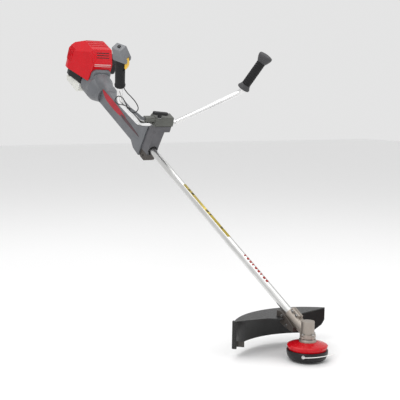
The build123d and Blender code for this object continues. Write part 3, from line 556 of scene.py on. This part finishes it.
# three thin black strips across the cover's front are painted shade: they stand for the shaded gaps of a
# recess
SLOT_SHADE_HALF = 30
for k in range(3):
    height = 128 + 9 * k
    on_cover(f"painted_slot_shade_{k}", (AHEAD, -SLOT_SHADE_HALF, height), (AHEAD, SLOT_SHADE_HALF, height),
             UPWARD, REARWARD, 3.0, 0.3, MATERIALS["black_plastic"])
on_cover("cover_front_rib", (AHEAD, -48, 70), (AHEAD, -48, 126), LEFT, REARWARD, 3.5, 2.0)
for k in range(5):
    fin_x = -1752 - 9 * k
    on_cover(f"cover_fin_{k}", (fin_x, BESIDE, 58), (fin_x, BESIDE, 118), FORWARD, LEFT, 3.0, 2.5)
for k in range(4):
    rib_x = -1700 - 18 * k
    on_cover(f"cover_top_rib_{k}", (rib_x, -45, ABOVE), (rib_x, 45, ABOVE), FORWARD, DOWNWARD, 4.0, 1.5)

# ---------------------------------------------------------------- colour fields on the tube
FIELD_ANGLES = radians(60), radians(118)
MARK_ANGLES = radians(70), radians(108)
RED_MARK_ANGLES = radians(62), radians(112)
wrap("warning_label", -835, -500, *FIELD_ANGLES, LABEL_YELLOW, "yellow_plastic", steps=14)
for k, (start, end) in enumerate(((-800, -792), (-778, -764), (-668, -650), (-640, -632), (-560, -548))):
    wrap(f"warning_mark_{k}", start, end, *MARK_ANGLES, LABEL_DARK, "black_plastic", radius=14.2)
RED_MARKS, RED_MARK_PITCH = 9, 17.5
for k in range(RED_MARKS):
    start = -398 + RED_MARK_PITCH * k
    long = 11 if k % 3 else 7
    wrap(f"red_mark_{k}", start, start + long, *RED_MARK_ANGLES, LABEL_RED, "red_plastic", lean=5)

# ---------------------------------------------------------------- inlay on the shaft cover's right side
COVER_HALF = 27
INLAY_TOP = [(-1540, 35), (-1500, 36.5), (-1440, 37), (-1380, 35), (-1305, 26)]
INLAY_BOTTOM = [(-1345, 14), (-1390, 8), (-1450, 7), (-1500, 12), (-1528, 22)]
TAIL_TOP = [(-1345, 24), (-1300, 26), (-1240, 23), (-1180, 16)]
TAIL_BOTTOM = [(-1235, 13), (-1300, 12), (-1350, 14)]


def on_shaft_cover(u, v, height):
    """A point on the shaft cover's right face, and height in metres out of it."""
    return at(u, -COVER_HALF - height / MM, v)


def inlaid(name, corners, thick, material):
    """A thin plaque with a smooth outline, let into the shaft cover's right face."""
    outline = [tuple(p) for p in smooth_outline(corners)]
    plaque(name, outline, on_shaft_cover, thick * MM, material, "machine", bevel=0.5, back=0.3 * MM)


inlaid("shaft_cover_inlay", INLAY_TOP + INLAY_BOTTOM, 0.8, INLAY_RED)
inlaid("shaft_cover_inlay_tail", TAIL_TOP + TAIL_BOTTOM, 1.0, INLAY_TAIL)

# ---------------------------------------------------------------- left grip, ribbed between flared ends
LEFT_GRIP_FOOT, LEFT_GRIP_TOP = at(-1019, 277, 336), at(-1006, 320, 479)
GRIP_BORE = 11.1


def grip_piece(name, outline, material):
    """One turned length of the left grip, from (along, radius) points in millimetres."""
    grip_axis = LEFT_GRIP_TOP - LEFT_GRIP_FOOT
    turned = lathe(name, LEFT_GRIP_FOOT, grip_axis, outline, material, "bars")
    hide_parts("left_grip")


grip_piece("left_grip_lower_flare",
           [(-8, GRIP_BORE), (-8, 23), (-6, 24.6), (-3, 25.4), (1, 24), (7, 20.5), (13, 18.2),
            (13, GRIP_BORE)], FLARE_PLASTIC)
RIBS, RIB_PITCH, RIB_ROOT, RIB_CREST = 11, 9.6, 16.6, 17.8
ribs = []
for k in range(RIBS):
    low = 13.5 + RIB_PITCH * k
    ribs += [(low, RIB_ROOT), (low + 1.2, RIB_CREST), (low + 6.4, RIB_CREST), (low + 7.6, RIB_ROOT)]
body_outline = [(13.2, GRIP_BORE)] + ribs + [(119, 17), (119, GRIP_BORE)]
grip_piece("left_grip_body", body_outline, MATERIALS["grip_rubber"])
grip_piece("left_grip_upper_flare",
           [(119.2, GRIP_BORE), (119.2, 19), (128, 23.6), (136, 26.6), (142, 28.4), (147, 28.4), (151, 26.5),
            (152.6, 20), (153, 8), (153, 0.2), (150.5, 0.2), (150.5, GRIP_BORE)], FLARE_PLASTIC)

# ---------------------------------------------------------------- floor, light
FLOOR_HALF = 12
floor_mesh = bpy.data.meshes.new("floor")
FLOOR_TURNS = (-1, -1), (1, -1), (1, 1), (-1, 1)
floor_corners = [(FLOOR_HALF * x, FLOOR_HALF * y, 0) for x, y in FLOOR_TURNS]
floor_mesh.from_pydata(floor_corners, [], [(0, 1, 2, 3)])
floor = bpy.data.objects.new("floor", floor_mesh)
scene.collection.objects.link(floor)
floor_nodes = Nodes("floor")
floor_nodes.set(Base_Color=(0.92, 0.92, 0.92, 1), Roughness=0.75)
floor_mesh.materials.append(floor_nodes.material)

world = bpy.data.worlds.new("studio")
world.use_nodes = True
world.node_tree.nodes["Background"].inputs["Color"].default_value = (1, 1, 1, 1)
world.node_tree.nodes["Background"].inputs["Strength"].default_value = 0.78
scene.world = world


def softbox(name, place, target, size, power):
    light = bpy.data.lights.new(name, "AREA")
    light.shape, light.size, light.energy = "SQUARE", size, power
    thing = bpy.data.objects.new(name, light)
    thing.location = place
    thing.rotation_euler = (Vector(target) - Vector(place)).to_track_quat("-Z", "Y").to_euler()
    scene.collection.objects.link(thing)


MIDDLE = (-0.7, 0.0, 0.5)
softbox("key", (0.8, -2.6, 3.0), MIDDLE, size=2.2, power=55)
softbox("fill", (1.8, 2.2, 2.0), MIDDLE, size=2.5, power=18)
softbox("top", (-1.2, 0.3, 3.4), MIDDLE, size=2.5, power=26)
scene.view_settings.view_transform = "Standard"
